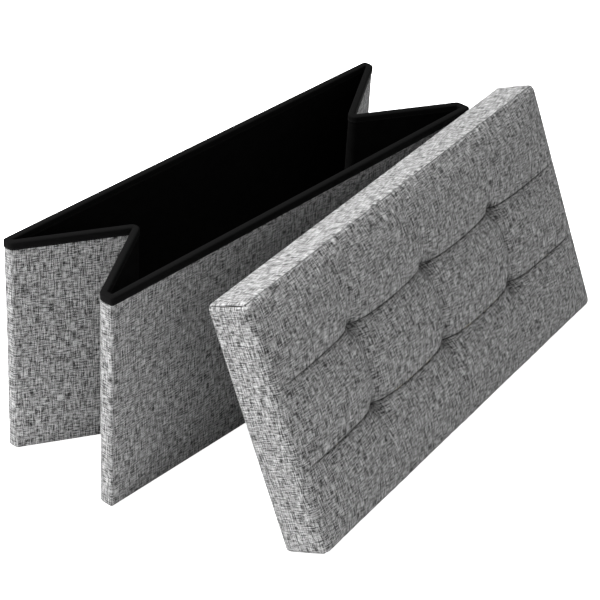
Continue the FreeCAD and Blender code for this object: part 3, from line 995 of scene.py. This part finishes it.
outward = np.stack([-tangent[:, 1], tangent[:, 0]], 1)
outward /= np.linalg.norm(outward, axis=1)[:, None]
on_side = path[:, 1] < SKIRT
outward[on_side] = np.column_stack([np.sign(path[on_side, 0]), np.zeros(on_side.sum())])

EDGE_ROWS = np.array((0.0, 0.5, 1.1, 1.8, 2.8, 4.0, 5.5, 7.5, 10.0, 13.0)) * MM
GROOVE_ROWS = np.array((-4.0, -2.6, -1.7, -1.1, -0.55, 0.0, 0.55, 1.1, 1.7, 2.6, 4.0)) * MM
plain_rows = np.arange(16.5 * MM, LID_WIDE - 15 * MM, PAD_STEP)
plain_rows = [y for y in plain_rows if min(abs(y - row) for row in TIE_Y) > 5.5 * MM]
rows = np.unique(np.concatenate([EDGE_ROWS, LID_WIDE - EDGE_ROWS, plain_rows,
                                 *[row + GROOVE_ROWS for row in TIE_Y]]))
print("rows", len(rows), "columns", len(path))

# %% Round the lid's upright corners
CORNER_RADIUS = 8 * MM
SEAM_TUCK = 0.9 * MM        # how far a seamed edge is pulled in
SEAM_DROP = 0.7             # shares of it: towards the inside,
SEAM_PULL = 0.35            # and along the fabric, less, so that the two edges cross


def corner_round(distance):
    """How far fabric near an upright corner seam moves in, and along towards its middle."""
    angle = np.radians(45) * (1 - np.clip(distance / CORNER_RADIUS, 0, 1))
    inward = CORNER_RADIUS * (1 - np.cos(angle))
    along = CORNER_RADIUS * (1 - np.sin(angle)) - np.clip(distance, 0, CORNER_RADIUS)
    return inward, along


# %% Make the top cover
GROOVE = 1.5 * MM           # depth of a seam's groove,
GROOVE_WIDTH = 1.0 * MM     # and half its width
GROOVE_SHADE_WIDTH = 1.1 * MM        # half the width of the painted shade along a seam's groove
EDGE_SHADE_WIDTH = 1.0 * MM        # and of the painted shade at a seamed edge
EDGE_TUCK = 0.8 * MM        # how far from a seamed edge the fabric starts to tuck in
SEAM_END = 45 * MM          # a seam gets weaker over this length at each short end,
SEAM_LEAST = 0.4            # down to this share
SEAM_SWAY = 3.2 * MM        # how far a seam bows out between two ties
SWAY_REACH = 24 * MM        # and how far to each side the fabric moves with it
SHADE = 0.5                 # darkness of the painted shade in the pocket at a tie,
FOLD_SHADE = 0.18           # and of the painted shade along the folds between ties


def near_rows(width):
    """One on the two seam rows, and nought a few widths away."""
    return sum(np.exp(-((rows - row) / width) ** 2) for row in TIE_Y)[:, None]


from_edge = np.minimum(rows, LID_WIDE - rows)[:, None]
on_top = np.clip((path[:, 1] - (TOP - END_RADIUS)) / END_RADIUS, 0, 1)[None] ** 2
on_pad = np.clip(path[:, 0], -HALF_LONG, HALF_LONG)
surface = filled_pad(on_pad, rows)
relief = surface[..., 2]
seam_share = np.clip((HALF_LONG - np.abs(path[:, 0])) / SEAM_END, SEAM_LEAST, 1)[None]
groove = GROOVE * near_rows(GROOVE_WIDTH) * seam_share
# painted shade: a dark line along each seam's groove
seam_groove_shade = near_rows(GROOVE_SHADE_WIDTH) * seam_share
# painted shade in the pocket that each tie pulls down
tie_pocket_shade = SHADE * tie_shadow(path[None, :, 0], rows[:, None])
# painted shade along the bowed folds between the ties of a column
crease_shade = FOLD_SHADE * column_crease(path[None, :, 0], rows[:, None])
from_ties = np.min([np.abs(path[:, 0] - tie) for tie in TIE_X], axis=0)[None]
bow = np.sin(np.clip(from_ties / (TIE_X[1] - TIE_X[0]), 0, 0.5) * math.pi) * seam_share
sway = near_rows(SWAY_REACH) * bow * SEAM_SWAY
corner_in, corner_along = corner_round(from_edge)
above_hem = ((path[:, 1] > 1.5 * MM) | (np.abs(path[:, 0]) > HALF_LONG - 3 * MM))[None]
seam_in = SEAM_TUCK * np.exp(-(from_edge / EDGE_TUCK) ** 2)
drop = (corner_in * (1 - on_top) + seam_in * SEAM_DROP) * above_hem
lift = (relief - groove) * on_top - drop
slide = (surface[..., :2] - np.stack(np.meshgrid(on_pad, rows), 2)) * on_top[..., None]
towards_middle = np.sign(LID_WIDE / 2 - rows)[:, None]
slide[..., 1] += towards_middle * (seam_in * SEAM_PULL + corner_along * (1 - on_top)) * above_hem
slide[..., 1] -= sway * on_top
points = np.stack([path[None, :, 0] + outward[None, :, 0] * lift + slide[..., 0],
                   rows[:, None] + slide[..., 1],
                   path[None, :, 1] + outward[None, :, 1] * lift], 2)
# painted shade in the crack at each seamed edge
edge_shade = np.exp(-(from_edge / EDGE_SHADE_WIDTH) ** 2) * above_hem
dark = np.maximum(np.maximum(seam_groove_shade, tie_pocket_shade + crease_shade) * on_top, edge_shade)
top_cover = sheet("lid_top_cloth", points, across[None], rows[:, None], LINEN, FABRIC_THICK,
                  (0, 0, 1), painted_shade=dark)
place_on_lid(top_cover)
register(top_cover, "lid_top_cover", "lid")
print("top cover", points.shape[:2])

# %% [markdown]
# ## The long bands
#
# The long sides are separate strips, sewn to the top and to the short ends. Each starts with
# a hem inside the rail, turns under it and goes up to the seam, where it tucks in.

# %% Make the two bands
BAND_RIPPLE = 0.25 * MM
BAND_SHIFT = 3.1            # metres that the band's pattern lies away from the top's
BAND_FACE = 3               # the first row of the profile that is on the outside
BAND_TUCKED = 3             # the last rows, which are tucked into the seam
top = SEAM_HEIGHT / MM
BAND_PROFILE = (*HEM_PROFILE, (-0.8, 26), (-1.0, 36), (-0.9, 46), (-0.5, top - 6), (-0.3, top - 3.6),
                (0.1, top - 2.0), (0.9, top - 1.1), (1.6, top - 0.8), (2.4, top - 0.7))
band_inset, band_height = np.array(BAND_PROFILE).T * MM
END_STEPS = np.array((0.0, 0.5, 1.2, 2.5, 5.0, 9.0)) * MM
band_x = np.unique(np.concatenate([-HALF_LONG + END_STEPS, HALF_LONG - END_STEPS,
                                   np.arange(-HALF_LONG + 15 * MM, HALF_LONG - 12 * MM, 6 * MM)]))
from_end = (HALF_LONG - np.abs(band_x))[None]
on_face = (np.arange(len(band_height)) >= BAND_FACE)[:, None]
corner_in, corner_along = corner_round(from_end)
seam_in = SEAM_TUCK * np.exp(-(from_end / EDGE_TUCK) ** 2)
tuck = corner_in + seam_in * SEAM_DROP
waves = (np.sin(band_x * 37) + np.sin(band_x * 91 + 1))[None]
ripple = BAND_RIPPLE * waves * np.sin(np.clip(band_height / SEAM_HEIGHT, 0, 1) * math.pi)[:, None]
inset = band_inset[:, None] + (tuck - ripple) * on_face
in_seam = (np.arange(len(band_height)) >= len(band_height) - BAND_TUCKED)[:, None]
# painted shade: a dark line at each seamed end, and the rows tucked into the seam wholly dark
band_shade = np.maximum(np.exp(-(from_end / EDGE_SHADE_WIDTH) ** 2) * on_face, in_seam * 1.0)
pulled_x = band_x - np.sign(band_x) * (seam_in * SEAM_PULL + corner_along)[0]
around = lengths(np.column_stack([band_inset, band_height]))
for place, sign in (("lower", 1), ("upper", -1)):
    face = inset if sign > 0 else LID_WIDE - inset
    points = np.stack([np.broadcast_to(pulled_x[None], face.shape), face,
                       np.broadcast_to(band_height[:, None], face.shape)], 2)
    band = sheet(f"lid_band_{place}_cloth", points, band_x[None] + BAND_SHIFT, around[:, None],
                 LINEN, FABRIC_THICK, (0, -sign, 0), painted_shade=band_shade)
    place_on_lid(band)
    register(band, f"lid_band_{place}", "lid")
print("bands", face.shape)

# %% [markdown]
# ## Inside the lid
#
# A board carries the foam, and rails under it make the skirt that drops over the box. Each is
# a cube at its size and place. Its upright edges get a large bevel where they reach a corner
# of the lid, so that the fabric can turn the corner, and then every edge is softened.

# %% Make the board and the four rails
HEM_ROOM = 1.6 * MM         # the hem's fabric passes under each rail
BAR_ROOM = 1.8 * MM         # left free behind the fabric at the lid's sides
AT_SIDE = 2 * MM            # a face this near to the lid's outside has the fabric before it
CORNER_CUT = 4.1 * MM       # just under what is left of a rail's thickness
AT_CORNER = 4 * MM          # an upright edge this near to both sides is at a corner of the lid
LID_OUTER_LOW = np.array((-HALF_LONG, 0.0, -np.inf))
LID_OUTER_HIGH = np.array((HALF_LONG, LID_WIDE, np.inf))


def lid_bar(name, low, high, node):
    """A bar of the lid between two corners, in fibreboard, that replaces a node."""
    low = np.where(low < LID_OUTER_LOW + AT_SIDE, low + BAR_ROOM, low)
    high = np.where(high > LID_OUTER_HIGH - AT_SIDE, high - BAR_ROOM, high)
    bar = add_bar(name, low, high)
    for edge in bar.data.edges:
        first, second = (bar.data.vertices[at].co for at in edge.vertices)
        upright = abs(first.z - second.z) > 1 * MM
        at_end = HALF_LONG - abs(first.x) < AT_CORNER
        at_side = min(first.y, LID_WIDE - first.y) < AT_CORNER
        edge.select = upright and at_end and at_side
    bpy.ops.object.mode_set(mode="EDIT")
    bpy.ops.mesh.select_mode(type="EDGE")
    bpy.ops.mesh.bevel(offset=CORNER_CUT, segments=3, affect="EDGES")
    bpy.ops.object.mode_set(mode="OBJECT")
    soften()
    place_on_lid(bar)
    bar.data.materials.append(fibreboard)
    register(bar, node, "lid")


for place in ("lower", "upper", "left", "right"):
    rail = lid_points(f"lid_rail_{place}")
    lid_bar(f"lid_rail_{place}_bar", rail.min(0) + (0, 0, HEM_ROOM), rail.max(0), f"lid_rail_{place}")
    print("rail", place, [round(v / MM) for v in np.ptp(rail, axis=0)])
board = lid_points("lid_board")
lid_bar("lid_board_panel", board.min(0), board.max(0), "lid_board")

# %% [markdown]
# ## The lid's lining
#
# The felt is a shallow tray: flat under the board, and turned down along its edges over the
# hems of the cover. It sags by a fraction of a millimetre, as glued felt does.

# %% Make the lining
TRAY_INSET = RAIL + 2.6 * MM
TRAY_TURN = np.array((0.0, 0.0, 1.5, 5.0)) * MM     # in from the tray's edge
TRAY_FALL = np.array((6.0, 2.0, 0.6, 0.0)) * MM     # how far it is turned down there
TRAY_THICK = 0.6 * MM
TRAY_DROP = 1.2 * MM        # from the board's underside to the felt's shown side
TRAY_SAG = 0.2 * MM


def tray_line(start, end, count):
    """Places along one side of the tray, and how far down each is turned."""
    places = np.concatenate([start + TRAY_TURN, np.linspace(start + 20 * MM, end - 20 * MM, count),
                             end - TRAY_TURN[::-1]])
    return places, np.concatenate([TRAY_FALL, np.zeros(count), TRAY_FALL[::-1]])


tray_x, fall_x = tray_line(-HALF_LONG + TRAY_INSET, HALF_LONG - TRAY_INSET, 40)
tray_y, fall_y = tray_line(TRAY_INSET, LID_WIDE - TRAY_INSET, 20)
x, y = np.meshgrid(tray_x, tray_y)
fall = np.maximum(fall_x[None], fall_y[:, None])
sag = TRAY_SAG * (np.sin(x * 31 + y * 17) + np.sin(x * 13 - y * 29)) * (fall == 0)
points = np.stack([x, y, SKIRT - TRAY_DROP - fall + sag], 2)
lid_lining = sheet("lid_lining_felt", points, tray_x[None], tray_y[:, None], felt, TRAY_THICK,
                   (0, 0, -1))
place_on_lid(lid_lining)
register(lid_lining, "lid_lining", "lid")
print("lining", points.shape[:2])

# %% [markdown]
# ## The foam
#
# The foam is one block on the board. Its top is a grid with the filled pad's shape, a little
# lower than the fabric, and the sides come from extruding the grid and flattening the new end.

# %% Make the foam block
FOAM_INSET = 4.0 * MM       # from the lid's sides to the foam's
FOAM_DROP = 2.6 * MM        # from the pad's plain top to the foam's
ABOVE_BOARD = 0.1 * MM
foam_x = np.linspace(-HALF_LONG + FOAM_INSET, HALF_LONG - FOAM_INSET, 130)
foam_y = np.linspace(FOAM_INSET, LID_WIDE - FOAM_INSET, 64)
foam_surface = filled_pad(foam_x, foam_y)
end_distance = np.minimum(foam_x + HALF_LONG, HALF_LONG - foam_x)[None]
foam_surface[..., 2] += TOP - FOAM_DROP - END_RADIUS * round_drop(end_distance, END_RADIUS)
foam_surface[..., 0], foam_surface[..., 1] = np.meshgrid(foam_x, foam_y)
foam = add_grid("lid_foam_block", foam_surface)
bpy.ops.object.mode_set(mode="EDIT")
bpy.ops.mesh.select_all(action="SELECT")
bpy.ops.mesh.extrude_region_move(TRANSFORM_OT_translate={"value": (0, 0, -30 * MM)})
bpy.ops.transform.resize(value=(1, 1, 0))
bpy.ops.object.mode_set(mode="OBJECT")
lowest = min(vertex.co.z for vertex in foam.data.vertices)
for vertex in foam.data.vertices:
    if vertex.co.z < lowest + 0.01 * MM:
        vertex.co.z = BOARD_TOP + ABOVE_BOARD
bpy.ops.object.mode_set(mode="EDIT")
bpy.ops.mesh.select_all(action="SELECT")
bpy.ops.mesh.normals_make_consistent(inside=False)
bpy.ops.object.mode_set(mode="OBJECT")
bpy.ops.object.shade_smooth_by_angle(angle=math.radians(40))
foam.data.materials.append(foam_material)
place_on_lid(foam)
register(foam, "lid_foam", "lid")
print("foam block", len(foam.data.polygons), "faces")

# %% [markdown]
# ## The loose floor board
#
# It stands behind the front wall. The felt on it is rounded off along its edges, and a ribbon
# to pull it up by lies at its top edge.

# %% Felt and ribbon of the floor board
FELT_ROUND = 0.7 * MM       # the felt's thickness, and how far it is rounded at its edge
RIBBON_THICK = 0.5 * MM
RIBBON_BOW = 0.5 * MM


def edged_steps(low, high, count):
    """Places from low to high, closer together near both ends."""
    return np.concatenate([[low, low + 1 * MM], np.linspace(low + 10 * MM, high - 10 * MM, count),
                           [high - 1 * MM, high]])


low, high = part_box("floor_lining")
xs, zs = edged_steps(low.x, high.x, 30), edged_steps(low.z, high.z, 14)
x, z = np.meshgrid(xs, zs)
rim_distance = np.minimum(np.minimum(x - low.x, high.x - x), np.minimum(z - low.z, high.z - z))
y = high.y - FELT_ROUND * round_drop(rim_distance, FELT_ROUND)
floor_felt = sheet("floor_board_felt", np.stack([x, y, z], 2), xs[None], zs[:, None], felt,
                   FELT_ROUND, (0, 1, 0))
register(floor_felt, "floor_lining", "floor_panel")

low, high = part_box("floor_pull_ribbon")
rise = np.linspace(0, 1, 24)
xs, zs = np.linspace(low.x, high.x, 8), low.z + (high.z - low.z) * rise
x, z = np.meshgrid(xs, zs)
bowed_out = (low.y + 0.6 * MM + RIBBON_BOW * np.sin(rise * math.pi))[:, None] + 0 * x
edge = np.minimum(xs - low.x, high.x - xs)
ribbon = sheet("floor_ribbon", np.stack([x, bowed_out, z], 2), zs[:, None], xs[None], tape,
               RIBBON_THICK, (0, 1, 0), edge=edge[None])
register(ribbon, "floor_pull_ribbon", "floor_panel")
print("floor board's felt", y.shape, "and ribbon", z.shape)

# %% [markdown]
# ## What stays as it is
#
# The floor board and the ties stay as they are in the frame and only need a material. Every
# other node has been replaced, and gets one too, so that none is left bare.

# %% Finish the pieces that are kept from the frame
NODE_FINISHES = {"lid_tuft_ties": cord_material, "floor_board": black_card}
for name, node in frame["nodes"].items():
    finish = NODE_FINISHES.get(name, fibreboard)
    node.data.materials.clear()
    node.data.materials.append(finish)
print("kept from the frame", list(NODE_FINISHES))

# %% [markdown]
# ## Floor and light
#
# A large pale floor under an even pale sky, and four soft lamps: the strongest from above and
# behind, a nearer one beside it, and two weak ones that fill the left and the front. The floor
# also glows, but only for the camera. It looks pure white there, with no shadow on it, while
# the light that it sends back to the object is that of pale grey paper.

# %% Set the stage
FLOOR_GLOW = 1.02           # just over one, so that it is white whatever the light
SKY_STRENGTH = 0.5
bpy.ops.object.select_all(action="DESELECT")
bpy.ops.mesh.primitive_plane_add(size=40, location=(0, 0, -0.3 * MM))
floor = bpy.context.object
floor.name = "floor"
paper, nodes, shader = material("floor_paper", roughness=0.9, color=grey(0.9))
nodes.feed(shader.inputs["Emission Color"], nodes.add("LightPath").outputs["Is Camera Ray"])
nodes.feed(shader.inputs["Emission Strength"], FLOOR_GLOW)
floor.data.materials.append(paper)

world = bpy.data.worlds.new("studio")
bpy.context.scene.world = world
world.use_nodes = True
world.node_tree.nodes["Background"].inputs["Color"].default_value = grey(1.0)
world.node_tree.nodes["Background"].inputs["Strength"].default_value = SKY_STRENGTH
bpy.context.scene.view_settings.view_transform = "Standard"


def lamp(name, direction, size, power, distance=3.0):
    """A square soft lamp that shines on the object from a direction."""
    aim = Vector((0.05, 0.0, 0.15))
    bpy.ops.object.light_add(type="AREA", location=aim + Vector(direction).normalized() * distance)
    light = bpy.context.object
    light.name = name
    light.data.size = size
    light.data.energy = power
    light.rotation_euler = (light.location - aim).to_track_quat("Z", "Y").to_euler()


lamp("top_lamp", (-0.4, 0.45, 0.85), 1.6, 198)
lamp("near_lamp", (-0.75, 0.45, 1.0), 1.6, 16, distance=2.2)
lamp("left_lamp", (-0.75, -0.45, 0.8), 1.6, 9)
lamp("front_lamp", (-0.2, -0.9, 0.5), 1.6, 4)
